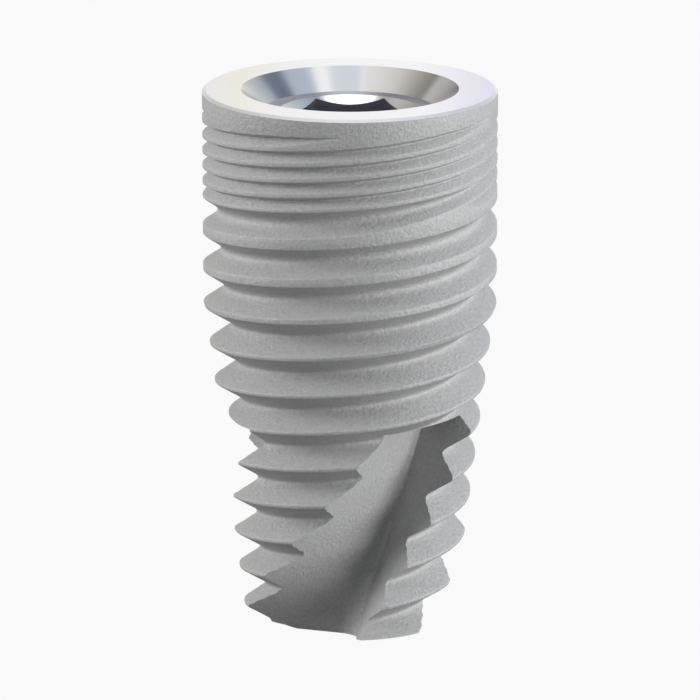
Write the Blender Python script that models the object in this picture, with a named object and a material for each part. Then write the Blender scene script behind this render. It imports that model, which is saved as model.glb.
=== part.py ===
"""Tapered screw implant for a tooth root, machined in one piece.

The implant stands on its flat apex with its axis on +Z and its origin at the
centre of the apex face. Units are metres. Depths are measured down from the
platform, the ring that an abutment seats on, and angles are measured from the
front (-Y) towards +X.
"""
import math
from functools import partial

import bmesh
import bpy
from mathutils import Matrix, Vector

MM = 0.001

# Overall size of the body
IMPLANT_LENGTH = 11.33 * MM
COLLAR_DIAMETER = 6.0 * MM
APEX_DIAMETER = 4.26 * MM
TAPER_START_DEPTH = 4.25 * MM
APEX_LAND_DIAMETER = 2.4 * MM
APEX_CONE_ANGLE = math.radians(16.0)
RIM_CHAMFER_WIDTH = 0.07 * MM
RIM_CHAMFER_DEPTH = 0.05 * MM

# Connection for the abutment: bevel, ledge, lead-in cone, hexagon and screw bore
BEVEL_MOUTH_DIAMETER = 4.42 * MM
BEVEL_FLOOR_DIAMETER = 3.53 * MM
BEVEL_ANGLE = math.radians(45.0)
CONE_MOUTH_DIAMETER = 2.87 * MM
CONE_HALF_ANGLE = math.radians(55.0)
HEX_ACROSS_FLATS = 2.42 * MM
HEX_FLOOR_DEPTH = 2.1 * MM
BORE_DIAMETER = 1.6 * MM
BORE_DEPTH = 6.4 * MM
DRILL_POINT_ANGLE = math.radians(118.0)

# Threads: all grooves share one lead, so that the fine ones run beside the coarse ones
LEAD = 1.59 * MM

# Fine grooves of the collar
MICRO_STARTS = 5
MICRO_DEPTH = 0.155 * MM
MICRO_ROOT_FLAT = 0.02 * MM
MICRO_UPPER_FLANK = math.radians(26.0)
MICRO_LOWER_FLANK = math.radians(42.0)
MICRO_TOP_DEPTH = 0.36 * MM
MICRO_TOP_RUNOUT = 0.14 * MM
MICRO_BOTTOM_DEPTH = 2.25 * MM
MICRO_BOTTOM_RUNOUT = 0.20 * MM
MICRO_FRONT_DEPTH = 0.67 * MM

# Coarse grooves of the body, which deepen on the way down until they are full
MACRO_STARTS = 2
MACRO_DEPTH_TOP = 0.27 * MM
MACRO_DEPTH_FULL = 0.48 * MM
MACRO_ROOT_FLAT_TOP = 0.17 * MM
MACRO_ROOT_FLAT_FULL = 0.09 * MM
MACRO_FULL_FROM_DEPTH = 4.85 * MM
MACRO_FLANK = math.radians(33.6)
MACRO_TOP_DEPTH = 1.80 * MM
MACRO_RUNOUT = 0.30 * MM
MACRO_FRONT_DEPTH = 2.90 * MM

# Cutting flutes that open through the apex. The corner between wall and floor runs
# straight from the core of the thread to the core of the flutes.
FLUTE_COUNT = 3
FLUTE_START_DEPTH = 6.70 * MM
FLUTE_START_ANGLE = math.radians(39.4)
FLUTE_CORE_RADIUS = 0.5 * MM
FLUTE_CORE_ANGLE = math.radians(12.4)
FLUTE_REACH = 3.6 * MM
FLUTE_OVERRUN = 0.3 * MM
WALL_ANGLE_TOP = math.radians(70.5)
WALL_ANGLE_APEX = math.radians(3.2)
WALL_RAKE = math.radians(2.7)
FLOOR_TURN_TOP = math.radians(39.5)
FLOOR_TURN_APEX = math.radians(-2.2)
FLOOR_CURL = math.radians(4.0) / MM

# Fineness of the mesh
SEGMENTS = 72
FLUTE_STEPS = 14
FLOOR_STEPS = 4
CUTTER_CLEARANCE = 0.25 * MM
BLANK_SPARE = 1.2 * MM
MIN_CREST = 0.02 * MM
MERGE_DISTANCE = 0.00001 * MM
SMOOTH_ANGLE = math.radians(25.0)

# Finish
TITANIUM_COLOUR = (0.42, 0.42, 0.43, 1.0)
TITANIUM_ROUGHNESS = 0.45
TITANIUM_METALLIC = 0.9


def clear_scene():
    """Remove whatever the file holds, so that the implant starts from nothing."""
    for thing in list(bpy.data.objects):
        bpy.data.objects.remove(thing, do_unlink=True)


def titanium():
    """Grit-blasted titanium."""
    material = bpy.data.materials.new("blasted_titanium")
    material.use_nodes = True
    shader = material.node_tree.nodes["Principled BSDF"]
    shader.inputs["Base Color"].default_value = TITANIUM_COLOUR
    shader.inputs["Roughness"].default_value = TITANIUM_ROUGHNESS
    shader.inputs["Metallic"].default_value = TITANIUM_METALLIC
    return material


def mesh_object(name, bm):
    """Turn a finished bmesh into an object whose faces point outwards."""
    bmesh.ops.recalc_face_normals(bm, faces=bm.faces)
    mesh = bpy.data.meshes.new(name)
    bm.to_mesh(mesh)
    bm.free()
    made = bpy.data.objects.new(name, mesh)
    bpy.context.scene.collection.objects.link(made)
    return made


def turned(name, outline, start_angle=0.0):
    """Spin an outline of (radius, height) points into a solid.

    The outline starts and ends on the axis, or is a closed ring away from it.
    """
    bm = bmesh.new()
    side = math.cos(start_angle)
    front = math.sin(start_angle)
    points = [bm.verts.new((radius * side, radius * front, height)) for radius, height in outline]
    edges = [bm.edges.new(pair) for pair in zip(points, points[1:])]
    if outline[0][0] > 0.0:
        edges.append(bm.edges.new((points[-1], points[0])))
    bmesh.ops.spin(
        bm,
        geom=points + edges,
        cent=(0.0, 0.0, 0.0),
        axis=(0.0, 0.0, 1.0),
        angle=math.tau,
        steps=SEGMENTS,
        use_merge=True,
        use_duplicate=False,
    )
    bmesh.ops.remove_doubles(bm, verts=bm.verts, dist=MERGE_DISTANCE)
    return mesh_object(name, bm)


def lofted(name, sections):
    """Skin a row of closed sections that have the same number of points."""
    bm = bmesh.new()
    rings = [[bm.verts.new(point) for point in section] for section in sections]
    for ring, following in zip(rings, rings[1:]):
        for index, corner in enumerate(ring):
            after = (index + 1) % len(ring)
            bm.faces.new((corner, ring[after], following[after], following[index]))
    bm.faces.new(rings[0])
    bm.faces.new(rings[-1])
    return mesh_object(name, bm)


def cut(body, cutter):
    """Subtract a cutter from the body and keep it as a hidden guide."""
    cutter.hide_render = True
    cutter.display_type = "WIRE"
    modifier = body.modifiers.new(cutter.name, "BOOLEAN")
    modifier.operation = "DIFFERENCE"
    modifier.solver = "EXACT"
    modifier.object = cutter


def mixed(start, end, share):
    """Value at a share of the way from start to end."""
    return start + (end - start) * share


def clamped(value):
    """Value kept between nought and one."""
    return min(1.0, max(0.0, value))


def envelope_radius(depth):
    """Radius over the thread crests at a depth below the platform."""
    share = (depth - TAPER_START_DEPTH) / (IMPLANT_LENGTH - TAPER_START_DEPTH)
    return mixed(COLLAR_DIAMETER / 2, APEX_DIAMETER / 2, max(0.0, share))


def polar(radius, angle, depth):
    """Point at an angle from the front towards +X and a depth below the platform."""
    return (radius * math.sin(angle), -radius * math.cos(angle), IMPLANT_LENGTH - depth)


def fullness(depth):
    """Share of the way from the coarse grooves' first depth to their full depth."""
    start = MACRO_TOP_DEPTH + MACRO_RUNOUT
    return clamped((depth - start) / (MACRO_FULL_FROM_DEPTH - start))


def core_radius(depth):
    """Radius of the coarse grooves' root at a depth below the platform."""
    return envelope_radius(depth) - mixed(MACRO_DEPTH_TOP, MACRO_DEPTH_FULL, fullness(depth))


def apex_outline():
    """Outline of the ring that cones the apex face outside its flat land."""
    land = APEX_LAND_DIAMETER / 2
    slope = math.tan(APEX_CONE_ANGLE)
    outside = envelope_radius(IMPLANT_LENGTH) + CUTTER_CLEARANCE
    return [
        (land - CUTTER_CLEARANCE / slope, -CUTTER_CLEARANCE),
        (outside, -CUTTER_CLEARANCE),
        (outside, (outside - land) * slope),
    ]


def bevel_depth():
    """Depth of the ledge at the foot of the bevel."""
    return (BEVEL_MOUTH_DIAMETER - BEVEL_FLOOR_DIAMETER) / 2 / math.tan(BEVEL_ANGLE)


def socket_outline():
    """Outline of the turned space inside: bevel, ledge, lead-in cone and screw bore."""
    ledge = bevel_depth()
    mouth = BEVEL_MOUTH_DIAMETER / 2 + CUTTER_CLEARANCE * math.tan(BEVEL_ANGLE)
    bore = BORE_DIAMETER / 2
    cone_length = (CONE_MOUTH_DIAMETER / 2 - bore) / math.tan(CONE_HALF_ANGLE)
    point_length = bore / math.tan(DRILL_POINT_ANGLE / 2)
    outline = [
        (0.0, CUTTER_CLEARANCE),
        (mouth, CUTTER_CLEARANCE),
        (BEVEL_FLOOR_DIAMETER / 2, -ledge),
        (CONE_MOUTH_DIAMETER / 2, -ledge),
        (bore, -ledge - cone_length),
        (bore, -BORE_DEPTH),
        (0.0, -BORE_DEPTH - point_length),
    ]
    return [(radius, IMPLANT_LENGTH + height) for radius, height in outline]


def hexagon_sections():
    """Hexagonal prism of the connection, with corners on the X axis."""
    corner = HEX_ACROSS_FLATS / 2 / math.cos(math.pi / 6)
    sections = []
    for depth in (HEX_FLOOR_DEPTH, bevel_depth() - CUTTER_CLEARANCE / 2):
        angles = [math.pi / 2 + math.pi / 3 * side for side in range(6)]
        sections.append([polar(corner, angle, depth) for angle in angles])
    return sections


def helix_depth(front_depth, angle):
    """Depth of a helical line at an angle, given its depth at the front."""
    return front_depth - LEAD * angle / math.tau


def helix_angle(front_depth, depth):
    """Angle at which a helical line reaches a depth."""
    return math.tau * (front_depth - depth) / LEAD


def micro_profile(front_depth, angle):
    """Edges and root of a fine groove as (depth, radius) points, from the top down."""
    centre = helix_depth(front_depth, angle)
    above = (centre - MICRO_TOP_DEPTH) / MICRO_TOP_RUNOUT
    below = (MICRO_BOTTOM_DEPTH - centre) / MICRO_BOTTOM_RUNOUT
    cut_depth = MICRO_DEPTH * clamped(min(above, below))
    half_flat = MICRO_ROOT_FLAT / 2
    top = centre - half_flat - cut_depth * math.tan(MICRO_UPPER_FLANK)
    bottom = centre + half_flat + cut_depth * math.tan(MICRO_LOWER_FLANK)
    root = envelope_radius(centre) - cut_depth
    return [
        (top, envelope_radius(top)),
        (centre - half_flat, root),
        (centre + half_flat, root),
        (bottom, envelope_radius(bottom)),
    ]


def macro_profile(front_depth, angle):
    """Edges and root of a coarse groove as (depth, radius) points, from the top down.

    Where neighbouring grooves meet, the crest between them comes to an edge.
    """
    centre = helix_depth(front_depth, angle)
    root = core_radius(centre)
    cut_depth = envelope_radius(centre) - root
    half_flat = mixed(MACRO_ROOT_FLAT_TOP, MACRO_ROOT_FLAT_FULL, fullness(centre)) / 2
    slope = math.tan(MACRO_FLANK)
    half_pitch = (LEAD / MACRO_STARTS - MIN_CREST) / 2
    half_mouth = min(half_flat + cut_depth * slope, half_pitch)
    crest = root + (half_mouth - half_flat) / slope
    spread = envelope_radius(centre - half_mouth) - envelope_radius(centre)
    return [
        (centre - half_mouth, crest + spread),
        (centre - half_flat, root),
        (centre + half_flat, root),
        (centre + half_mouth, crest - spread),
    ]


def merged_profile(micro_front, macro_front, angle):
    """Profile of a fine groove that widens into the coarse groove below it."""
    share = clamped((helix_depth(macro_front, angle) - MACRO_TOP_DEPTH) / MACRO_RUNOUT)
    fine = micro_profile(micro_front, angle)
    coarse = macro_profile(macro_front, angle)
    return [
        (mixed(f[0], c[0], share), mixed(f[1], c[1], share))
        for f, c in zip(fine, coarse)
    ]


def grooves():
    """Every groove, as its profile and its first and last angle from the top down."""
    fine_pitch = LEAD / MICRO_STARTS
    hosts = {}
    for start in range(MACRO_STARTS):
        macro_front = MACRO_FRONT_DEPTH - start * LEAD / MACRO_STARTS
        host = math.floor((macro_front - MICRO_FRONT_DEPTH) / fine_pitch)
        hosts[host % MICRO_STARTS] = (MICRO_FRONT_DEPTH + host * fine_pitch, macro_front)
    coarse = []
    for micro_front, macro_front in hosts.values():
        first = helix_angle(micro_front, MICRO_TOP_DEPTH)
        last = helix_angle(macro_front, IMPLANT_LENGTH + BLANK_SPARE / 2)
        coarse.append((partial(merged_profile, micro_front, macro_front), first, last))
    fine = []
    for start in range(MICRO_STARTS):
        if start not in hosts:
            micro_front = MICRO_FRONT_DEPTH + start * fine_pitch
            profile = partial(micro_profile, micro_front)
            first = helix_angle(micro_front, MICRO_TOP_DEPTH)
            last = helix_angle(micro_front, MICRO_BOTTOM_DEPTH)
            last = max(last, meeting_angle(profile, first, coarse))
            fine.append((profile, first, last))
    return coarse + fine


def meeting_angle(profile, first, others):
    """Angle at which a groove, followed downwards, first meets one of the others."""
    step = math.tau / SEGMENTS
    angle = first
    while helix_depth(0.0, angle - first) < IMPLANT_LENGTH:
        points = profile(angle)
        for other, other_first, other_last in others:
            turns = range(
                math.ceil((other_last - angle) / math.tau),
                math.floor((other_first - angle) / math.tau) + 1,
            )
            for turn in turns:
                top, *inner, bottom = other(angle + turn * math.tau)
                if top[0] < points[-1][0] + MIN_CREST and bottom[0] > points[0][0] - MIN_CREST:
                    return angle + step
        angle -= step
    return angle


def threaded_columns(bm):
    """Columns of vertices down the body, each entry with the name of its helical line.

    A groove ends in one vertex, which stands for its edges and its root alike.
    """
    step = math.tau / SEGMENTS
    foot = IMPLANT_LENGTH + BLANK_SPARE
    columns = []
    for column in range(SEGMENTS):
        angle = column * step
        collar = COLLAR_DIAMETER / 2
        rim = bm.verts.new(polar(collar - RIM_CHAMFER_WIDTH, angle, 0.0))
        shoulder = bm.verts.new(polar(collar, angle, RIM_CHAMFER_DEPTH))
        base = bm.verts.new(polar(envelope_radius(foot), angle, foot))
        columns.append([(-2.0, "rim", rim), (-1.0, "shoulder", shoulder), (foot, "base", base)])
    for number, (profile, first, last) in enumerate(grooves()):
        top_column = math.floor(first / step)
        end_column = math.floor(last / step)
        for column in range(end_column, top_column + 1):
            angle = column * step
            points = profile(angle)
            if column in (top_column, end_column):
                depth = (points[1][0] + points[2][0]) / 2
                single = bm.verts.new(polar(envelope_radius(depth), angle, depth))
                made = [single] * len(points)
                depths = [depth] * len(points)
            else:
                made = [bm.verts.new(polar(radius, angle, depth)) for depth, radius in points]
                depths = [depth for depth, radius in points]
            for line, vertex in enumerate(made):
                columns[column % SEGMENTS].append((depths[line], (number, line, column), vertex))
    return [sorted(entries, key=lambda entry: entry[0]) for entries in columns]


def next_column(name):
    """Name that a helical line's vertex has in the next column."""
    if isinstance(name, str):
        return name
    number, line, column = name
    return (number, line, column + 1)


def skin_columns(bm, columns):
    """Fill the strip between each two neighbouring columns, line by line."""
    for index, left in enumerate(columns):
        right = columns[(index + 1) % len(columns)]
        places = {name: place for place, (depth, name, vertex) in enumerate(right)}
        left_from = 0
        right_from = 0
        for left_to, (depth, name, vertex) in enumerate(left):
            right_to = places.get(next_column(name))
            if left_to == 0 or right_to is None:
                continue
            near = [entry[2] for entry in left[left_from:left_to + 1]]
            far = [entry[2] for entry in right[right_from:right_to + 1]]
            corners = list(dict.fromkeys(near + far[::-1]))
            if len(corners) > 2:
                bm.faces.new(corners)
            left_from = left_to
            right_from = right_to


def threaded_blank(name):
    """Turned and threaded blank, trimmed level at the apex."""
    bm = bmesh.new()
    columns = threaded_columns(bm)
    skin_columns(bm, columns)
    bm.faces.new([column[0][2] for column in columns])
    bm.faces.new([column[-1][2] for column in columns])
    trimmed = bmesh.ops.bisect_plane(
        bm,
        geom=bm.verts[:] + bm.edges[:] + bm.faces[:],
        dist=MERGE_DISTANCE,
        plane_co=(0.0, 0.0, 0.0),
        plane_no=(0.0, 0.0, -1.0),
        clear_outer=True,
    )
    rim = [piece for piece in trimmed["geom_cut"] if isinstance(piece, bmesh.types.BMEdge)]
    bmesh.ops.edgenet_fill(bm, edges=rim)
    return mesh_object(name, bm)


def flute_section(turn, share):
    """One level section of a flute at a share of its length: wall, corner and floor.

    The wall comes in along a radius, but for its rake, and turns at the core of the
    thread to run straight to the corner. The floor leaves the corner sideways and
    curls forward.
    """
    length = IMPLANT_LENGTH - FLUTE_START_DEPTH
    depth = FLUTE_START_DEPTH + length * share
    core = core_radius(depth)
    wall = mixed(WALL_ANGLE_TOP, WALL_ANGLE_APEX, share)
    start = polar(core_radius(FLUTE_START_DEPTH), FLUTE_START_ANGLE, depth)
    foot = polar(FLUTE_CORE_RADIUS, FLUTE_CORE_ANGLE, depth)
    corner = Vector(start).lerp(Vector(foot), share)
    floor = mixed(FLOOR_TURN_TOP, FLOOR_TURN_APEX, share)
    mouth = Vector(polar(FLUTE_REACH, wall - WALL_RAKE, depth))
    points = [mouth, Vector(polar(core, wall, depth)), corner]
    for step in range(1, FLOOR_STEPS + 1):
        reach = FLUTE_REACH * step / FLOOR_STEPS
        rise = floor + FLOOR_CURL * reach
        points.append(corner + reach * Vector((-math.cos(rise), -math.sin(rise), 0.0)))
    spun = Matrix.Rotation(turn, 3, "Z")
    return [spun @ point for point in points]


def cut_flutes(body):
    """Cut the flutes, which turn and deepen towards the apex."""
    last_share = 1.0 + FLUTE_OVERRUN / (IMPLANT_LENGTH - FLUTE_START_DEPTH)
    for index in range(FLUTE_COUNT):
        turn = math.tau * index / FLUTE_COUNT
        shares = [last_share * step / FLUTE_STEPS for step in range(FLUTE_STEPS + 1)]
        sections = [flute_section(turn, share) for share in shares]
        cut(body, lofted("flute_cutter_%d" % (index + 1), sections))


def build_implant():
    """Turn the blank and cut the connection, the threads and the flutes into it."""
    body = threaded_blank("implant_body")
    body.data.materials.append(titanium())
    cut(body, turned("socket_cutter", socket_outline()))
    cut(body, lofted("hexagon_cutter", hexagon_sections()))
    cut_flutes(body)
    cut(body, turned("apex_cutter", apex_outline(), math.pi / SEGMENTS))
    body.data.shade_smooth()
    body.data.set_sharp_from_angle(angle=SMOOTH_ANGLE)
    return body


clear_scene()
build_implant()
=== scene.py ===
import math
from functools import partial

import bmesh
import bpy
from bpy.props import FloatProperty, FloatVectorProperty, IntProperty, PointerProperty
from mathutils import Matrix, Vector


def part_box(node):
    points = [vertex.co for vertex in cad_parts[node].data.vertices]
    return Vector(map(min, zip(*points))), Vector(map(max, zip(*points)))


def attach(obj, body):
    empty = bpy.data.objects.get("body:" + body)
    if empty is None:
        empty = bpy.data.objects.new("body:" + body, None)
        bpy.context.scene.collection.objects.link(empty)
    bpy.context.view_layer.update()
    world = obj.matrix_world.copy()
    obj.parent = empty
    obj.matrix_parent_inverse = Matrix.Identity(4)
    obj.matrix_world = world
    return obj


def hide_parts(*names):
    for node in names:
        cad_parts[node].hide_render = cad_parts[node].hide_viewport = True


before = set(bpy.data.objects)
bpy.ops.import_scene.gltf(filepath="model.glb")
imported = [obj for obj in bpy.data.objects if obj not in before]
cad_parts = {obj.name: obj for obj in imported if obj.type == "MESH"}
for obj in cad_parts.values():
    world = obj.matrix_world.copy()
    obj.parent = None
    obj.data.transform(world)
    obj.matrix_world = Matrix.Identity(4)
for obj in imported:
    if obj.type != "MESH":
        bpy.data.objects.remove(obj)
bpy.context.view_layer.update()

# Studio picture of a tapered screw implant: a grit-blasted titanium body with fine and
# coarse grooves, three cutting flutes and a machined connection for the abutment.
# Units are metres. Depths are measured down from the platform, and angles from the
# front (-Y) towards +X.

bl_info = {
    "name": "Tapered screw implant",
    "version": (1, 0, 0),
    "blender": (4, 5, 0),
    "location": "3D View > Sidebar > Implant",
    "description": "Models a titanium screw implant and the studio that it stands in",
    "category": "Object",
}

MM = 0.001
BODY_LOW, BODY_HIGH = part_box("implant_body")
IMPLANT_LENGTH = BODY_HIGH.z - BODY_LOW.z
COLLAR_DIAMETER = BODY_HIGH.x - BODY_LOW.x

# Fineness of the meshes
BODY_COLUMNS = 216
BORE_COLUMNS = 96
LATHE_STEPS = 144
FLUTE_STEPS = 36
FILLET_STEPS = 8
CORNER_STEPS = 4
MERGE_DISTANCE = 0.00001 * MM
CLEARANCE = 0.25 * MM
SPARE_LENGTH = 1.0 * MM
SMOOTH_ANGLE = math.radians(30.0)
EDGE_SHARE = 0.45
LEVEL_MARGIN = 0.0005 * MM
LEDGE_MARGIN = 0.005 * MM
PAINT_MARGIN = 0.02 * MM
UPRIGHT = 0.1
DRILL_TIP = 0.02 * MM
DRILL_SHARE = 0.98


def length(name, text, millimetres):
    """A size that the sidebar shows in the scene's units."""
    return FloatProperty(name=name, description=text, default=millimetres * MM, unit="LENGTH",
                         subtype="DISTANCE", precision=5)


def turn(name, text, degrees):
    """An angle that the sidebar shows in degrees."""
    return FloatProperty(name=name, description=text, default=math.radians(degrees),
                         unit="ROTATION", subtype="ANGLE")


def linear(code):
    """Linear colour of an sRGB hex code."""
    shares = [int(code[index:index + 2], 16) / 255 for index in (1, 3, 5)]
    return [s / 12.92 if s <= 0.04045 else ((s + 0.055) / 1.055) ** 2.4 for s in shares]


def colour(name, text, code):
    """A colour that the sidebar shows as a swatch."""
    return FloatVectorProperty(name=name, description=text, default=linear(code),
                               subtype="COLOR", size=3, min=0.0, max=1.0)


def share(name, text, value):
    """A number between nought and one."""
    return FloatProperty(name=name, description=text, default=value, min=0.0, max=1.0,
                         subtype="FACTOR")


class ImplantBodySizes(bpy.types.PropertyGroup):
    """Outline of the turned blank."""
    collar: length("Collar", "Diameter over the straight collar", COLLAR_DIAMETER / MM)
    apex: length("Apex", "Diameter over the crests at the apex", 4.26)
    taper_start: length("Taper start", "Depth at which the body starts to taper", 4.25)
    apex_land: length("Apex land", "Diameter of the flat face at the apex", 2.4)
    apex_cone: turn("Apex cone", "Rise of the apex face outside its land", 16.0)
    rim_width: length("Rim chamfer width", "Radial width of the rim's chamfer", 0.07)
    rim_depth: length("Rim chamfer depth", "Height of the rim's chamfer", 0.05)


class ImplantThreadSizes(bpy.types.PropertyGroup):
    """Fine grooves of the collar and coarse grooves of the body."""
    lead: length("Lead", "Rise of every groove in one turn", 1.59)
    fine_starts: IntProperty(name="Fine starts", description="Number of fine grooves",
                             default=5, min=1)
    fine_depth: length("Fine depth", "Depth of the fine grooves", 0.155)
    fine_flat: length("Fine root", "Flat at the root of the fine grooves", 0.02)
    fine_upper: turn("Fine upper flank", "Slope of the upper flank", 26.0)
    fine_lower: turn("Fine lower flank", "Slope of the lower flank", 42.0)
    fine_top: length("Fine top", "Depth at which the fine grooves start", 0.36)
    fine_top_runout: length("Fine run-in", "Depth over which they deepen", 0.14)
    fine_bottom: length("Fine bottom", "Depth at which the fine grooves end", 2.25)
    fine_bottom_runout: length("Fine run-out", "Depth over which they fade", 0.20)
    fine_front: length("Fine front", "Depth of the first fine root at the front", 0.67)
    coarse_starts: IntProperty(name="Coarse starts", description="Number of coarse grooves",
                               default=2, min=1)
    coarse_depth_top: length("Coarse depth, top", "Depth of the first coarse turn", 0.27)
    coarse_depth_full: length("Coarse depth, full", "Depth of the full thread", 0.48)
    coarse_flat_top: length("Coarse root, top", "Flat at the root of the first turn", 0.17)
    coarse_flat_full: length("Coarse root, full", "Flat at the root, full thread", 0.09)
    coarse_full_from: length("Full from", "Depth from which the thread is full", 4.85)
    coarse_flank: turn("Coarse flank", "Slope of both flanks", 33.6)
    coarse_top: length("Coarse top", "Depth at which the coarse grooves start", 1.80)
    coarse_runout: length("Coarse run-in", "Depth over which they deepen", 0.30)
    coarse_front: length("Coarse front", "Depth of a coarse root at the front", 2.90)
    crest_round: length("Crest rounding", "Length of the rounding at crest edges", 0.03)
    root_round: length("Root rounding", "Length of the rounding at the roots", 0.12)
    fine_crest_round: length("Fine crest rounding", "The same on the fine grooves", 0.014)
    fine_root_round: length("Fine root rounding", "The same in the fine grooves", 0.035)
    fine_fade: turn("Fine fade", "Turn over which a fine groove fades by a coarse one", 16.0)
    crest_least: length("Least crest", "Width that is left between two mouths", 0.02)


class ImplantFluteSizes(bpy.types.PropertyGroup):
    """Cutting flutes that open through the apex."""
    count: IntProperty(name="Flutes", description="Number of flutes", default=3, min=1)
    start: length("Start", "Depth of the flutes' upper end", 6.68)
    corner_top: length("Corner, top", "Radius of the inner corner at the upper end", 1.59)
    corner_apex: length("Corner, apex", "Radius of the inner corner at the apex", 0.88)
    turn_top: turn("Corner turn, top", "Angle of the corner at the upper end", 76.8)
    turn_apex: turn("Corner turn, apex", "Angle of the corner at the apex", 8.8)
    wall_top: turn("Wall, top", "Direction of the wall at the upper end", 63.6)
    wall_apex: turn("Wall, apex", "Direction of the wall at the apex", -1.8)
    floor_top: turn("Floor, top", "Angle that the floor faces at the upper end", 64.6)
    floor_apex: turn("Floor, apex", "Angle that the floor faces at the apex", -17.6)
    fillet_top: length("Fillet, top", "Fillet between wall and floor, upper end", 0.02)
    fillet_apex: length("Fillet, apex", "Fillet between wall and floor, apex", 0.5)
    fillet_on_wall: FloatProperty(name="Fillet on wall", default=0.3,
                                  description="Share of the fillet that the wall gives up")
    fillet_bend: FloatProperty(name="Fillet bend", default=0.25,
                               description="Share of the fillet at which it bends to the floor")
    fillet_on_floor: FloatProperty(name="Fillet on floor", default=0.8,
                                   description="Share of the fillet that the floor gives up")
    deepening: FloatProperty(name="Deepening", default=1.32,
                             description="How much of the corner's way lies near the top")
    turning: FloatProperty(name="Turning", default=1.38,
                           description="How much of the floor's turn lies near the apex")
    reach: length("Reach", "Width of the cutter's faces", 3.2)
    overrun: length("Overrun", "How far the cutter runs on below the apex", 0.3)


class ImplantSocketSizes(bpy.types.PropertyGroup):
    """Connection for the abutment and its screw."""
    bevel_mouth: length("Bevel mouth", "Diameter of the bevel at the platform", 4.42)
    bevel_floor: length("Bevel foot", "Diameter of the ledge at its outside", 3.53)
    bevel_angle: turn("Bevel angle", "Angle of the bevel to the axis", 45.0)
    cone_mouth: length("Cone mouth", "Diameter of the ledge at its inside", 2.87)
    cone_angle: turn("Cone angle", "Angle of the lead-in cone to the axis", 55.0)
    hexagon: length("Hexagon", "Width across the flats", 2.42)
    hexagon_floor: length("Hexagon floor", "Depth of the hexagon's floor", 2.1)
    bore: length("Bore", "Minor diameter of the screw thread", 1.6)
    bore_major: length("Bore, major", "Major diameter of the screw thread", 1.8)
    bore_depth: length("Bore depth", "Depth of the bore's full diameter", 6.4)
    bore_pitch: length("Bore pitch", "Pitch of the screw thread", 0.35)
    bore_thread_top: length("Bore thread top", "Depth at which the screw thread starts", 2.6)
    bore_thread_end: length("Bore thread end", "Depth at which it ends", 6.1)
    drill_point: turn("Drill point", "Angle of the drill's point", 118.0)


class ImplantFinish(bpy.types.PropertyGroup):
    """Colours and roughness of the titanium finishes."""
    blasted: colour("Blasted", "Grit-blasted and etched titanium", "#BFBFBF")
    blasted_shade: colour("Blasted, shade", "The same in the pits", "#969697")
    blasted_roughness: share("Blasted roughness", "Roughness of the etched surface", 0.7)
    bare_metal: share("Bare metal", "Share of the etched surface without its oxide skin", 0.3)
    grit: length("Grit", "Size of the pits, drawn coarse enough to show", 0.07)
    grit_depth: length("Grit depth", "Depth of the pits", 0.022)
    machined: colour("Machined", "Lathe-turned titanium", "#E3E2E4")
    # The platform's tints at -X (cream) and at +X (lavender) are painted reflections.
    painted_reflection_left: colour("Machined, left", "Oxide tint of the platform at -X", "#E2E0D0")
    painted_reflection_right: colour("Machined, right", "Oxide tint of the platform at +X", "#C8C5DA")
    machined_roughness: share("Machined roughness", "Roughness of the turned faces", 0.16)
    deburred_roughness: share("Deburred roughness", "Roughness of the rim's chamfer", 0.6)
    # The ledge and hexagon are coloured darker and bluer than the turned faces: painted shade and
    # a painted bluish reflection inside the socket, on top of the titanium's colour.
    broached_with_painted_shade: colour("Broached", "Titanium of the ledge and the hexagon", "#A3A4AC")
    broached_roughness: share("Broached roughness", "Roughness of ledge and hexagon", 0.38)
    grain: share("Grain", "How far the tool's grain stretches the reflections", 0.5)


class ImplantStageSettings(bpy.types.PropertyGroup):
    """Floor, cards and camera."""
    paper: colour("Paper", "Colour of the floor's paper", "#7C7C7C")
    floor_size: length("Floor", "Width of the floor", 3000.0)
    shadow: share("Shadow", "Share of the floor's own shading that the camera sees", 0.06)
    metal_floor: share("Floor in metal", "Share of the white page that metal shows", 0.12)
    cards: FloatProperty(name="Cards", default=1.2,
                         description="Strength of the cards overhead and behind")
    low_cards: share("Low cards", "Share of it that is left low in front", 0.12)
    lens: FloatProperty(name="Lens", description="Focal length in millimetres", default=290.06)
    camera_distance: length("Distance", "From the lens to the point looked at", 115.7)
    camera_rise: turn("Rise", "Height of the camera over that point", 14.92)
    look_depth: length("Look at", "Depth of that point below the platform", 5.49)


SETTINGS = {
    "implant_body_sizes": ImplantBodySizes,
    "implant_thread_sizes": ImplantThreadSizes,
    "implant_flute_sizes": ImplantFluteSizes,
    "implant_socket_sizes": ImplantSocketSizes,
    "implant_finish": ImplantFinish,
    "implant_stage_settings": ImplantStageSettings,
}


def mixed(start, end, share_of_way):
    """Value at a share of the way from start to end."""
    return start + (end - start) * share_of_way


def clamped(value):
    """Value kept between nought and one."""
    return min(1.0, max(0.0, value))


def polar(radius, angle, depth):
    """Point at an angle from the front towards +X and a depth below the platform."""
    return Vector((radius * math.sin(angle), -radius * math.cos(angle), IMPLANT_LENGTH - depth))


# Tools for modelling


def deselect():
    """Leave edit mode and select nothing."""
    if bpy.context.object and bpy.context.object.mode != "OBJECT":
        bpy.ops.object.mode_set(mode="OBJECT")
    bpy.ops.object.select_all(action="DESELECT")


def activate(piece):
    """Select one piece alone and make it the active one."""
    deselect()
    piece.select_set(True)
    bpy.context.view_layer.objects.active = piece


def settle(name):
    """Name the active primitive and move its place into its mesh."""
    piece = bpy.context.object
    piece.name = name
    piece.data.name = name
    bpy.ops.object.transform_apply(location=True, rotation=True, scale=True)
    return piece


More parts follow.
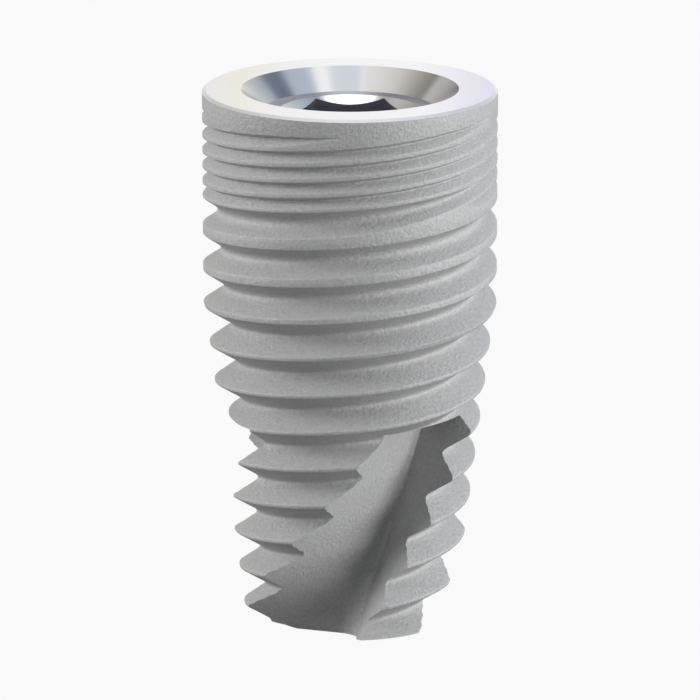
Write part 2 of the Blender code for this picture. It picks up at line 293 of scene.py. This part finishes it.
def turned(name, outline, steps):
    """Lathe a cutter: a disc at the first (radius, depth), extruded from ring to ring."""
    first_radius, first_depth = outline[0]
    deselect()
    bpy.ops.mesh.primitive_circle_add(vertices=steps, radius=first_radius, fill_type="NGON",
                                      location=(0.0, 0.0, IMPLANT_LENGTH - first_depth))
    piece = settle(name)
    bpy.ops.object.mode_set(mode="EDIT")
    bpy.ops.mesh.select_all(action="SELECT")
    for (radius, depth), (next_radius, next_depth) in zip(outline, outline[1:]):
        drop = (0.0, 0.0, depth - next_depth)
        bpy.ops.mesh.extrude_region_move(TRANSFORM_OT_translate={"value": drop})
        ratio = next_radius / radius
        bpy.ops.transform.resize(value=(ratio, ratio, 1.0),
                                 center_override=(0.0, 0.0, IMPLANT_LENGTH - next_depth))
    bpy.ops.mesh.select_all(action="SELECT")
    bpy.ops.mesh.remove_doubles(threshold=MERGE_DISTANCE)
    bpy.ops.mesh.normals_make_consistent(inside=False)
    bpy.ops.object.mode_set(mode="OBJECT")
    return piece


def lofted(name, sections):
    """Extrude a flat face from section to section, setting its corners each time."""
    deselect()
    bpy.ops.mesh.primitive_circle_add(vertices=len(sections[0]), radius=MM, fill_type="NGON")
    piece = settle(name)
    bpy.ops.object.mode_set(mode="EDIT")
    bm = bmesh.from_edit_mesh(piece.data)
    bm.verts.ensure_lookup_table()
    for vertex, point in zip(bm.verts, sections[0]):
        vertex.co = point
    bpy.ops.mesh.select_all(action="SELECT")
    for section, following in zip(sections, sections[1:]):
        bpy.ops.mesh.extrude_region_move(TRANSFORM_OT_translate={"value": (0.0, 0.0, 0.0)})
        bm = bmesh.from_edit_mesh(piece.data)
        for vertex in [v for v in bm.verts if v.select]:
            nearest = min(range(len(section)), key=lambda i: (section[i] - vertex.co).length)
            vertex.co = following[nearest]
    bpy.ops.mesh.select_all(action="SELECT")
    bpy.ops.mesh.normals_make_consistent(inside=False)
    bpy.ops.object.mode_set(mode="OBJECT")
    return piece


def cut(piece, cutter):
    """Subtract a cutter from a piece and delete the cutter, or raise if it cut nothing."""
    before = len(piece.data.vertices)
    activate(piece)
    bpy.ops.object.modifier_add(type="BOOLEAN")
    modifier = piece.modifiers[-1]
    modifier.operation = "DIFFERENCE"
    modifier.solver = "MANIFOLD"
    modifier.object = cutter
    bpy.ops.object.modifier_apply(modifier=modifier.name)
    if len(piece.data.vertices) == before:
        raise RuntimeError(cutter.name + " cut nothing")
    activate(cutter)
    bpy.ops.object.delete()


# The threaded blank. Its skin follows the helical lines of its grooves, which no
# primitive does, so it is laid column by column.


def envelope_radius(depth):
    """Radius over the thread crests."""
    sizes = bpy.context.scene.implant_body_sizes
    way = (depth - sizes.taper_start) / (IMPLANT_LENGTH - sizes.taper_start)
    return mixed(sizes.collar / 2, sizes.apex / 2, max(0.0, way))


def fullness(depth):
    """Share of the way from the coarse grooves' first depth to their full depth."""
    sizes = bpy.context.scene.implant_thread_sizes
    start = sizes.coarse_top + sizes.coarse_runout
    return clamped((depth - start) / (sizes.coarse_full_from - start))


def core_radius(depth):
    """Radius of the coarse grooves' root."""
    sizes = bpy.context.scene.implant_thread_sizes
    groove = mixed(sizes.coarse_depth_top, sizes.coarse_depth_full, fullness(depth))
    return envelope_radius(depth) - groove


def fine_corners(sizes, front_depth, last, angle):
    """Edges and root of a fine groove as (depth, radius), from the top down."""
    centre = front_depth - sizes.lead * angle / math.tau
    above = (centre - sizes.fine_top) / sizes.fine_top_runout
    below = (sizes.fine_bottom - centre) / sizes.fine_bottom_runout
    beside = (angle - last) / sizes.fine_fade
    groove = sizes.fine_depth * clamped(min(above, below, beside))
    half_flat = sizes.fine_flat / 2
    top = centre - half_flat - groove * math.tan(sizes.fine_upper)
    bottom = centre + half_flat + groove * math.tan(sizes.fine_lower)
    root = envelope_radius(centre) - groove
    return [(top, envelope_radius(top)), (centre - half_flat, root),
            (centre + half_flat, root), (bottom, envelope_radius(bottom))]


def coarse_corners(sizes, front_depth, angle):
    """Edges and root of a coarse groove as (depth, radius), from the top down."""
    centre = front_depth - sizes.lead * angle / math.tau
    root = core_radius(centre)
    groove = envelope_radius(centre) - root
    half_flat = mixed(sizes.coarse_flat_top, sizes.coarse_flat_full, fullness(centre)) / 2
    slope = math.tan(sizes.coarse_flank)
    half_pitch = (sizes.lead / sizes.coarse_starts - sizes.crest_least) / 2
    half_mouth = min(half_flat + groove * slope, half_pitch)
    crest = root + (half_mouth - half_flat) / slope
    spread = envelope_radius(centre - half_mouth) - envelope_radius(centre)
    return [(centre - half_mouth, crest + spread), (centre - half_flat, root),
            (centre + half_flat, root), (centre + half_mouth, crest - spread)]


def rounded(before, corners, after, roundings):
    """Groove profile with its four corners rounded, each over its own (in, out) lengths."""
    chain = [Vector(point) for point in [before] + corners + [after]]
    points = []
    for index, (way_in, way_out) in enumerate(roundings, start=1):
        corner = chain[index]
        to_before = chain[index - 1] - corner
        to_after = chain[index + 1] - corner
        share_in = way_in / max(to_before.length, MERGE_DISTANCE)
        share_out = way_out / max(to_after.length, MERGE_DISTANCE)
        start = corner + to_before * min(EDGE_SHARE, share_in)
        end = corner + to_after * min(EDGE_SHARE, share_out)
        for step in range(CORNER_STEPS):
            t = step / (CORNER_STEPS - 1)
            points.append(start * (1 - t) ** 2 + corner * 2 * t * (1 - t) + end * t ** 2)
    return points


def groove_profile(sizes, fine_front, coarse_front, last, angle):
    """Rounded profile of a fine groove, which may widen into a coarse one below it."""
    way = 0.0
    corners = fine_corners(sizes, fine_front, last, angle)
    if coarse_front is not None:
        centre = coarse_front - sizes.lead * angle / math.tau
        way = clamped((centre - sizes.coarse_top) / sizes.coarse_runout)
        corners = [(mixed(f[0], c[0], way), mixed(f[1], c[1], way))
                   for f, c in zip(corners, coarse_corners(sizes, coarse_front, angle))]
    crest = mixed(sizes.fine_crest_round, sizes.crest_round, way)
    root = mixed(sizes.fine_root_round, sizes.root_round, way)
    above = corners[0][0] - 2 * crest
    below = corners[3][0] + 2 * crest
    return rounded((above, envelope_radius(above)), corners, (below, envelope_radius(below)),
                   [(crest * 0.5, crest), (root, root), (root, root), (crest, crest * 0.5)])


def meeting_angle(sizes, profile, first, others, step):
    """Angle at which a groove, followed downwards, first meets one of the others."""
    gap = sizes.crest_least
    angle = first
    while sizes.lead * (first - angle) / math.tau < IMPLANT_LENGTH:
        points = profile(angle)
        for other, other_first, other_last in others:
            first_turn = math.ceil((other_last - angle) / math.tau)
            last_turn = math.floor((other_first - angle) / math.tau)
            for number in range(first_turn, last_turn + 1):
                near = other(angle + number * math.tau)
                if near[0][0] < points[-1][0] + gap and near[-1][0] > points[0][0] - gap:
                    return angle + step
        angle -= step
    return angle


def body_grooves(sizes, step):
    """Every groove, as its profile and its first and last angle from the top down."""
    fine_pitch = sizes.lead / sizes.fine_starts
    hosts = {}
    for start in range(sizes.coarse_starts):
        coarse_front = sizes.coarse_front - start * sizes.lead / sizes.coarse_starts
        host = math.floor((coarse_front - sizes.fine_front) / fine_pitch)
        hosts[host % sizes.fine_starts] = (sizes.fine_front + host * fine_pitch, coarse_front)
    made = []
    for fine_front, coarse_front in hosts.values():
        first = math.tau * (fine_front - sizes.fine_top) / sizes.lead
        last = math.tau * (coarse_front - IMPLANT_LENGTH - SPARE_LENGTH / 2) / sizes.lead
        profile = partial(groove_profile, sizes, fine_front, coarse_front, -math.inf)
        made.append((profile, first, last))
    coarse = list(made)
    for start in range(sizes.fine_starts):
        if start not in hosts:
            fine_front = sizes.fine_front + start * fine_pitch
            profile = partial(groove_profile, sizes, fine_front, None, -math.inf)
            first = math.tau * (fine_front - sizes.fine_top) / sizes.lead
            last = math.tau * (fine_front - sizes.fine_bottom) / sizes.lead
            met = meeting_angle(sizes, profile, first, coarse, step) - sizes.fine_fade / 2
            last = max(last, met)
            made.append((partial(groove_profile, sizes, fine_front, None, last), first, last))
    return made


def helical_skin(name, count, ends, grooves, radius_at):
    """Mesh of a round body with helical grooves, closed by flat ends.

    The ends are (depth, radius) rings at the top and at the bottom. Each groove is a
    profile with its first and last angle, and ends in one vertex.
    """
    step = math.tau / count
    bm = bmesh.new()
    columns = [[] for _ in range(count)]
    for column, entries in enumerate(columns):
        for line, (depth, radius) in enumerate(ends):
            vertex = bm.verts.new(polar(radius, column * step, depth))
            entries.append((depth, ("end", line), vertex))
    for number, (profile, first, last) in enumerate(grooves):
        top_column = math.floor(first / step)
        end_column = math.floor(last / step)
        for column in range(end_column, top_column + 1):
            angle = column * step
            points = profile(angle)
            if column in (top_column, end_column):
                depth = (points[0][0] + points[-1][0]) / 2
                points = [Vector((depth, radius_at(depth)))] * len(points)
                made = [bm.verts.new(polar(radius_at(depth), angle, depth))] * len(points)
            else:
                made = [bm.verts.new(polar(point[1], angle, point[0])) for point in points]
            for line, vertex in enumerate(made):
                entry = (points[line][0], (number, line, column), vertex)
                columns[column % count].append(entry)
    columns = [sorted(entries, key=lambda entry: entry[0]) for entries in columns]
    for index, left in enumerate(columns):
        fill_strip(bm, left, columns[(index + 1) % count])
    bm.faces.new([entries[0][2] for entries in columns])
    bm.faces.new([entries[-1][2] for entries in columns])
    bmesh.ops.recalc_face_normals(bm, faces=bm.faces)
    mesh = bpy.data.meshes.new(name)
    bm.to_mesh(mesh)
    bm.free()
    piece = bpy.data.objects.new(name, mesh)
    bpy.context.scene.collection.objects.link(piece)
    return piece


def fill_strip(bm, left, right):
    """Fill the strip between two neighbouring columns, helical line by helical line."""
    places = {name: place for place, (depth, name, vertex) in enumerate(right)}
    left_from = 0
    right_from = 0
    for left_to, (depth, name, vertex) in enumerate(left):
        following = name if name[0] == "end" else (name[0], name[1], name[2] + 1)
        right_to = places.get(following)
        if left_to == 0 or right_to is None:
            continue
        near = [entry[2] for entry in left[left_from:left_to + 1]]
        far = [entry[2] for entry in right[right_from:right_to + 1]]
        corners = list(dict.fromkeys(near + far[::-1]))
        if len(corners) > 2:
            bm.faces.new(corners)
        left_from = left_to
        right_from = right_to


def threaded_blank():
    """Threaded blank, longer than the implant by a spare length below the apex."""
    sizes = bpy.context.scene.implant_thread_sizes
    body = bpy.context.scene.implant_body_sizes
    foot = IMPLANT_LENGTH + SPARE_LENGTH
    collar = body.collar / 2
    ends = [(0.0, collar - body.rim_width), (body.rim_depth, collar),
            (foot, envelope_radius(foot))]
    grooves = body_grooves(sizes, math.tau / BODY_COLUMNS)
    return helical_skin("implant_screw", BODY_COLUMNS, ends, grooves, envelope_radius)


# Cutters


def flute_section(sizes, spin, way):
    """One level section of a flute at a share of its length: wall, fillet and floor.

    The fillet leaves the wall with a crease and runs smoothly into the floor.
    """
    depth = mixed(sizes.start, IMPLANT_LENGTH, way)
    left = max(0.0, 1.0 - way)
    corner = polar(mixed(sizes.corner_top, sizes.corner_apex, 1.0 - left ** sizes.deepening),
                   mixed(sizes.turn_top, sizes.turn_apex, way), depth)
    wall = mixed(sizes.wall_top, sizes.wall_apex, way)
    faces = mixed(sizes.floor_top, sizes.floor_apex, way ** sizes.turning)
    along_wall = Vector((math.sin(wall), -math.cos(wall), 0.0))
    along_floor = Vector((-math.cos(faces), -math.sin(faces), 0.0))
    fillet = mixed(sizes.fillet_top, sizes.fillet_apex, way)
    start = corner + along_wall * fillet * sizes.fillet_on_wall
    middle = corner + along_floor * fillet * sizes.fillet_bend
    end = corner + along_floor * fillet * sizes.fillet_on_floor
    points = [corner + along_wall * sizes.reach]
    for step in range(FILLET_STEPS + 1):
        t = step / FILLET_STEPS
        points.append(start * (1 - t) ** 2 + middle * 2 * t * (1 - t) + end * t ** 2)
    points.append(corner + along_floor * sizes.reach)
    turned_by = Matrix.Rotation(spin, 3, "Z")
    return [turned_by @ point for point in points]


def cut_flutes(piece):
    """Cut the flutes, which turn and deepen towards the apex."""
    sizes = bpy.context.scene.implant_flute_sizes
    last = 1.0 + sizes.overrun / (IMPLANT_LENGTH - sizes.start)
    for index in range(sizes.count):
        spin = math.tau * index / sizes.count
        ways = [last * step / FLUTE_STEPS for step in range(FLUTE_STEPS + 1)]
        sections = [flute_section(sizes, spin, way) for way in ways]
        cut(piece, lofted("flute_cutter", sections))


def cut_apex(piece):
    """Trim the spare length: level inside the land and coned outside it."""
    sizes = bpy.context.scene.implant_body_sizes
    outside = sizes.collar / 2 + CLEARANCE
    land = sizes.apex_land / 2
    rise = (outside - land) * math.tan(sizes.apex_cone)
    foot = IMPLANT_LENGTH + SPARE_LENGTH + CLEARANCE
    outline = [(land, IMPLANT_LENGTH), (outside, IMPLANT_LENGTH - rise), (outside, foot)]
    cut(piece, turned("apex_cutter", outline, LATHE_STEPS))


def bevel_depth():
    """Depth of the ledge at the foot of the bevel."""
    sizes = bpy.context.scene.implant_socket_sizes
    return (sizes.bevel_mouth - sizes.bevel_floor) / 2 / math.tan(sizes.bevel_angle)


def cut_connection(piece):
    """Cut the bevel, the ledge, the lead-in cone and the hexagon."""
    sizes = bpy.context.scene.implant_socket_sizes
    ledge = bevel_depth()
    spread = CLEARANCE * math.tan(sizes.bevel_angle)
    cone_length = (sizes.cone_mouth - sizes.bore) / 2 / math.tan(sizes.cone_angle)
    outline = [
        (sizes.bevel_mouth / 2 + spread, -CLEARANCE),
        (sizes.bevel_floor / 2, ledge),
        (sizes.cone_mouth / 2, ledge),
        (sizes.bore / 2, ledge + cone_length),
        (sizes.bore / 2, sizes.bore_thread_top),
    ]
    cut(piece, turned("socket_cutter", outline, LATHE_STEPS))
    corner = sizes.hexagon / 2 / math.cos(math.pi / 6)
    deep = sizes.hexagon_floor
    high = ledge - CLEARANCE / 2
    deselect()
    bpy.ops.mesh.primitive_cylinder_add(
        vertices=6, radius=corner, depth=deep - high, rotation=(0.0, 0.0, math.pi / 2),
        location=(0.0, 0.0, IMPLANT_LENGTH - (deep + high) / 2))
    cut(piece, settle("hexagon_cutter"))


def cut_screw_bore(piece):
    """Cut the bore with its internal thread and the drill's point below it."""
    sizes = bpy.context.scene.implant_socket_sizes
    minor = sizes.bore / 2
    major = sizes.bore_major / 2
    ridge = major - minor
    crest = sizes.bore_pitch / 8
    half = sizes.bore_pitch / 2 - crest

    def profile(angle):
        centre = sizes.bore_thread_top - sizes.bore_pitch * (angle / math.tau - 1.0)
        return [Vector((centre - half, minor)), Vector((centre - crest / 2, minor + ridge)),
                Vector((centre + crest / 2, minor + ridge)), Vector((centre + half, minor))]

    turns = (sizes.bore_thread_end - sizes.bore_thread_top) / sizes.bore_pitch - 1.0
    ends = [(sizes.bore_thread_top - CLEARANCE, minor), (sizes.bore_depth, minor)]
    rod = helical_skin("bore_cutter", BORE_COLUMNS, ends,
                       [(profile, 0.0, -math.tau * turns)], lambda depth: minor)
    cut(piece, rod)
    point = minor / math.tan(sizes.drill_point / 2)
    side = minor * DRILL_SHARE
    outline = [(side, sizes.bore_depth - CLEARANCE / 5), (side, sizes.bore_depth),
               (DRILL_TIP, sizes.bore_depth + point * (1 - DRILL_TIP / minor))]
    cut(piece, turned("drill_cutter", outline, LATHE_STEPS))


# Materials


def node(tree, kind, settings=None, links=None):
    """Add a node with its settings, and link its inputs to other nodes' sockets."""
    made = tree.nodes.new(kind)
    for key, value in (settings or {}).items():
        if isinstance(key, int) or key in made.inputs:
            made.inputs[key].default_value = value
        else:
            setattr(made, key, value)
    for key, source in (links or {}).items():
        tree.links.new(source, made.inputs[key])
    return made


def fresh_material(name):
    """An empty node material with its output."""
    material = bpy.data.materials.new(name)
    material.use_nodes = True
    material.node_tree.nodes.clear()
    output = node(material.node_tree, "ShaderNodeOutputMaterial")
    return material, material.node_tree, output


def rgba(values):
    """Colour with full opacity."""
    return (*values, 1.0)


def blasted_titanium():
    """Titanium blasted with grit and etched in acid: a matt, even grey with dark pits.

    The oxide skin scatters the light, so that only a share of it answers as bare metal.
    The grit is drawn coarser than the real one, which would be too fine to see.
    """
    finish = bpy.context.scene.implant_finish
    material, tree, output = fresh_material("grit_blasted_titanium")
    place = node(tree, "ShaderNodeTexCoord")
    per_metre = 1.0 / finish.grit
    pits = node(tree, "ShaderNodeTexNoise",
                {"Scale": per_metre, "Detail": 3.0, "Roughness": 0.6},
                {"Vector": place.outputs["Object"]})
    tint = node(tree, "ShaderNodeMix",
                {"data_type": "RGBA"}, {"Factor": pits.outputs["Fac"]})
    tint.inputs[6].default_value = rgba(finish.blasted_shade)
    tint.inputs[7].default_value = rgba(finish.blasted)
    bump = node(tree, "ShaderNodeBump", {"Strength": 1.0, "Distance": finish.grit_depth},
                {"Height": pits.outputs["Fac"]})
    shader = node(tree, "ShaderNodeBsdfPrincipled",
                  {"Metallic": finish.bare_metal, "Roughness": finish.blasted_roughness},
                  {"Base Color": tint.outputs[2], "Normal": bump.outputs["Normal"]})
    tree.links.new(shader.outputs["BSDF"], output.inputs["Surface"])
    return material


def machined_titanium(name, roughness, tones):
    """Titanium cut by a tool: the grain that runs round it stretches what it mirrors.

    The tones, as (place, colour) from -X to +X, are its colour; where they change from side to
    side, they are painted reflections.
    """
    grain = bpy.context.scene.implant_finish.grain
    material, tree, output = fresh_material(name)
    place = node(tree, "ShaderNodeTexCoord")
    split = node(tree, "ShaderNodeSeparateXYZ", None, {"Vector": place.outputs["Object"]})
    edge = COLLAR_DIAMETER / 2
    across = node(tree, "ShaderNodeMapRange", {"From Min": -edge, "From Max": edge},
                  {"Value": split.outputs["X"]})
    tint = node(tree, "ShaderNodeValToRGB", None, {"Fac": across.outputs[0]})
    stops = tint.color_ramp.elements
    stops[0].color = rgba(tones[0][1])
    stops[1].color = rgba(tones[-1][1])
    for place_on_ramp, tone in tones[1:-1]:
        stops.new(place_on_ramp).color = rgba(tone)
    tangent = node(tree, "ShaderNodeTangent", {"direction_type": "RADIAL", "axis": "Z"})
    shader = node(tree, "ShaderNodeBsdfPrincipled",
                  {"Metallic": 1.0, "Roughness": roughness, "Anisotropic": grain},
                  {"Base Color": tint.outputs["Color"], "Tangent": tangent.outputs["Tangent"]})
    tree.links.new(shader.outputs["BSDF"], output.inputs["Surface"])
    return material


# Order of the finishes on the piece
BLASTED, TURNED, DEBURRED, BROACHED = range(4)


def finish_of(face):
    """Finish of a face, from where it lies and which way it is turned."""
    body = bpy.context.scene.implant_body_sizes
    socket = bpy.context.scene.implant_socket_sizes
    depth = IMPLANT_LENGTH - face.center.z
    radius = math.hypot(face.center.x, face.center.y)
    ledge = bevel_depth()
    limit = mixed(socket.bevel_mouth / 2, socket.bevel_floor / 2, clamped(depth / ledge))
    if depth > socket.hexagon_floor:
        limit = socket.bore_major / 2
    inside = radius < limit + PAINT_MARGIN and depth < socket.bore_depth + MM
    on_ledge = abs(depth - ledge) < LEDGE_MARGIN
    upright = depth > ledge + LEDGE_MARGIN and abs(face.normal.z) < UPRIGHT
    if inside and (on_ledge or upright):
        return BROACHED
    if LEVEL_MARGIN < depth < body.rim_depth - LEVEL_MARGIN:
        return DEBURRED
    return TURNED if inside or depth <= LEVEL_MARGIN else BLASTED


def paint_faces(piece):
    """Give every face its finish: blasted outside, cut by tools on and in the platform."""
    finish = bpy.context.scene.implant_finish
    bright = finish.machined
    # The tints in this list, cream towards -X and lavender towards +X, are painted reflections.
    oxide = [(0.0, bright), (0.12, finish.painted_reflection_left), (0.26, bright), (0.74, bright),
             (1.0, finish.painted_reflection_right)]
    finishes = piece.data.materials
    # The cuts leave an empty slot, which would hide the first finish.
    finishes.clear()
    finishes.append(blasted_titanium())
    finishes.append(
        machined_titanium("lathe_turned_titanium", finish.machined_roughness, oxide))
    finishes.append(
        machined_titanium("deburred_titanium", finish.deburred_roughness,
                          [(0.0, bright), (1.0, bright)]))
    # The ledge and hexagon colour is titanium darkened and blued by painted shade and a painted
    # reflection.
    finishes.append(
        machined_titanium("broached_titanium", finish.broached_roughness,
                          [(0.0, finish.broached_with_painted_shade), (1.0, finish.broached_with_painted_shade)]))
    for face in piece.data.polygons:
        face.material_index = finish_of(face)


# Operators


class IMPLANT_OT_body(bpy.types.Operator):
    """Model the implant: threads, flutes, apex, connection and screw bore"""
    bl_idname = "implant.body"
    bl_label = "Implant"

    def execute(self, context):
        piece = threaded_blank()
        cut_apex(piece)
        cut_flutes(piece)
        cut_connection(piece)
        cut_screw_bore(piece)
        if not piece.data.polygons:
            raise RuntimeError("a cut left nothing of the implant")
        paint_faces(piece)
        activate(piece)
        bpy.ops.object.shade_smooth_by_angle(angle=SMOOTH_ANGLE)
        bpy.ops.object.modifier_add(type="WEIGHTED_NORMAL")
        piece.modifiers[-1].keep_sharp = True
        bpy.ops.object.modifier_apply(modifier=piece.modifiers[-1].name)
        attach(piece, "root")
        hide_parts("implant_body")
        return {"FINISHED"}


class IMPLANT_OT_stage(bpy.types.Operator):
    """Lay the floor, hang the lamps and set up the camera"""
    bl_idname = "implant.stage"
    bl_label = "Studio"

    def execute(self, context):
        settings = context.scene.implant_stage_settings
        lay_floor(settings)
        light_sky(context.scene, settings)
        hang_softboxes()
        set_camera(context.scene, settings)
        context.scene.view_settings.view_transform = "Standard"
        return {"FINISHED"}


def lay_floor(settings):
    """Lay a sheet that the camera sees as a white page with a faint shadow.

    Metal mirrors only a share of the page, and the page itself lights nothing.
    """
    deselect()
    bpy.ops.mesh.primitive_plane_add(size=settings.floor_size, location=(0.0, 0.0, 0.0))
    floor = settle("studio_floor")
    material, tree, output = fresh_material("matt_paper")
    path = node(tree, "ShaderNodeLightPath")
    direct = node(tree, "ShaderNodeMath", {"operation": "MAXIMUM"},
                  {0: path.outputs["Is Camera Ray"], 1: path.outputs["Is Transmission Ray"]})
    page_share = node(tree, "ShaderNodeMath", {"operation": "MULTIPLY", 1: 1.0 - settings.shadow},
                      {0: direct.outputs[0]})
    both = node(tree, "ShaderNodeMath", {"operation": "MULTIPLY_ADD", 1: settings.metal_floor},
                {0: path.outputs["Is Glossy Ray"], 2: page_share.outputs[0]})
    paper = node(tree, "ShaderNodeBsdfDiffuse", {"Color": rgba(settings.paper)})
    page = node(tree, "ShaderNodeEmission", {"Color": (1.0, 1.0, 1.0, 1.0), "Strength": 1.0})
    blend = node(tree, "ShaderNodeMixShader", None,
                 {0: both.outputs[0], 1: paper.outputs[0], 2: page.outputs[0]})
    tree.links.new(blend.outputs[0], output.inputs["Surface"])
    material.cycles.emission_sampling = "NONE"
    floor.data.materials.append(material)


# Cards round the implant: angle from the front in degrees, and colour. Lines two or three
# degrees apart are the edge between two cards, and elsewhere the colours blend.
CARDS = [
    (-180, "#F6F6F6"),
    (-168, "#6A6664"),
    (-150, "#A9A7A2"),
    (-133, "#C4C2BC"),
    (-130, "#76736C"),
    (-114, "#A3A19B"),
    (-92, "#D2D0CA"),
    (-59, "#E4E3DE"),
    (-44, "#E0E0DC"),
    (-42, "#FFFFFF"),
    (-35, "#FFFFFF"),
    (-33, "#CFD6DC"),
    (0, "#D6DCE2"),
    (54, "#D2D8DE"),
    (57, "#FFFFFF"),
    (79, "#FFFFFF"),
    (82, "#A9B4C2"),
    (110, "#B4BECA"),
    (113, "#5E6878"),
    (130, "#6C7686"),
    (133, "#A0AAB8"),
    (160, "#D4D8DC"),
    (180, "#F6F6F6"),
]


# How far a direction leans up and back, as the sum of those two parts, where the cards
# begin and where they are full
CARDS_BEGIN = 0.50
CARDS_FULL = 0.68


def light_sky(scene, settings):
    """Cards overhead and behind, which the turned faces mirror, and a faint fill."""
    world = bpy.data.worlds.new("studio_cards")
    scene.world = world
    world.use_nodes = True
    tree = world.node_tree
    tree.nodes.clear()
    output = node(tree, "ShaderNodeOutputWorld")
    place = node(tree, "ShaderNodeTexCoord")
    split = node(tree, "ShaderNodeSeparateXYZ", None, {"Vector": place.outputs["Generated"]})
    front = node(tree, "ShaderNodeMath", {"operation": "MULTIPLY", 1: -1.0},
                 {0: split.outputs["Y"]})
    angle = node(tree, "ShaderNodeMath", {"operation": "ARCTAN2"},
                 {0: split.outputs["X"], 1: front.outputs[0]})
    way = node(tree, "ShaderNodeMath", {"operation": "MULTIPLY_ADD", 1: 1 / math.tau, 2: 0.5},
               {0: angle.outputs[0]})
    ramp = node(tree, "ShaderNodeValToRGB", None, {"Fac": way.outputs[0]})
    stops = ramp.color_ramp.elements
    for index, (degrees, code) in enumerate(CARDS):
        place_on_ramp = degrees / 360 + 0.5
        stop = stops[index] if index < 2 else stops.new(place_on_ramp)
        stop.position = place_on_ramp
        stop.color = rgba(linear(code))
    tilt = node(tree, "ShaderNodeMath", {"operation": "ADD"},
                {0: split.outputs["Y"], 1: split.outputs["Z"]})
    level = node(tree, "ShaderNodeMapRange",
                 {"From Min": CARDS_BEGIN, "From Max": CARDS_FULL,
                  "To Min": settings.low_cards},
                 {"Value": tilt.outputs[0]})
    strength = node(tree, "ShaderNodeMath", {"operation": "MULTIPLY", 1: settings.cards},
                    {0: level.outputs[0]})
    cards = node(tree, "ShaderNodeBackground", None,
                 {"Color": ramp.outputs["Color"], "Strength": strength.outputs[0]})
    tree.links.new(cards.outputs[0], output.inputs["Surface"])


# Softboxes: angle from the front and height in degrees, width and height in millimetres,
# and the light that each gives in watts per square metre.
SOFTBOXES = {
    "right_softbox": (64, 10, 100, 70, 3.45),
    "left_softbox": (-92, 12, 100, 90, 1.7),
    "left_high_softbox": (-75, 32, 90, 60, 1.35),
    "right_high_softbox": (100, 28, 80, 60, 0.8),
    "front_left_softbox": (-38, 8, 80, 60, 0.22),
    "top_softbox": (180, 82, 130, 36, 0.3),
}
SOFTBOX_DISTANCE = 160.0 * MM


def hang_softboxes():
    """Hang the softboxes, each turned to the implant."""
    target = Vector((0.0, 0.0, IMPLANT_LENGTH / 2))
    for name, (angle, rise, width, height, light) in SOFTBOXES.items():
        level = Matrix.Rotation(math.radians(angle), 3, "Z") @ Vector((0.0, -1.0, 0.0))
        way = level * math.cos(math.radians(rise))
        way.z = math.sin(math.radians(rise))
        deselect()
        bpy.ops.object.light_add(type="AREA", location=target + way * SOFTBOX_DISTANCE)
        lamp = bpy.context.object
        lamp.name = name
        lamp.rotation_euler = way.to_track_quat("Z", "Y").to_euler()
        lamp.data.shape = "RECTANGLE"
        lamp.data.size = width * MM
        lamp.data.size_y = height * MM
        lamp.data.energy = light * math.pi * SOFTBOX_DISTANCE ** 2


SENSOR_WIDTH = 36.0
CLIP_END = 10.0


def set_camera(scene, settings):
    """Place the camera where the photograph was taken from."""
    target = Vector((0.0, 0.0, IMPLANT_LENGTH - settings.look_depth))
    away = Vector((0.0, -math.cos(settings.camera_rise), math.sin(settings.camera_rise)))
    spot = target + away * settings.camera_distance
    deselect()
    bpy.ops.object.camera_add(location=spot)
    camera = bpy.context.object
    camera.name = "photo_camera"
    camera.rotation_euler = (-away).to_track_quat("-Z", "Y").to_euler()
    camera.data.lens = settings.lens
    camera.data.sensor_width = SENSOR_WIDTH
    camera.data.clip_start = MM
    camera.data.clip_end = CLIP_END
    scene.camera = camera


class IMPLANT_PT_sidebar(bpy.types.Panel):
    """Sizes, finishes and steps of the implant"""
    bl_label = "Implant"
    bl_idname = "IMPLANT_PT_sidebar"
    bl_space_type = "VIEW_3D"
    bl_region_type = "UI"
    bl_category = "Implant"

    def draw(self, context):
        for operator in (IMPLANT_OT_body, IMPLANT_OT_stage):
            self.layout.operator(operator.bl_idname)
        for attribute, group in SETTINGS.items():
            box = self.layout.box()
            box.label(text=group.__doc__)
            for key in group.__annotations__:
                box.prop(getattr(context.scene, attribute), key)


CLASSES = (*SETTINGS.values(), IMPLANT_OT_body, IMPLANT_OT_stage, IMPLANT_PT_sidebar)


def register():
    """Register the classes and give the scene its settings."""
    for entry in CLASSES:
        bpy.utils.register_class(entry)
    for attribute, group in SETTINGS.items():
        setattr(bpy.types.Scene, attribute, PointerProperty(type=group))


def unregister():
    """Take the settings and the classes away again."""
    for attribute in SETTINGS:
        delattr(bpy.types.Scene, attribute)
    for entry in reversed(CLASSES):
        bpy.utils.unregister_class(entry)


def main():
    """Register the classes, then build the studio and the implant."""
    register()
    bpy.ops.implant.stage()
    bpy.ops.implant.body()


if __name__ == "__main__":
    main()
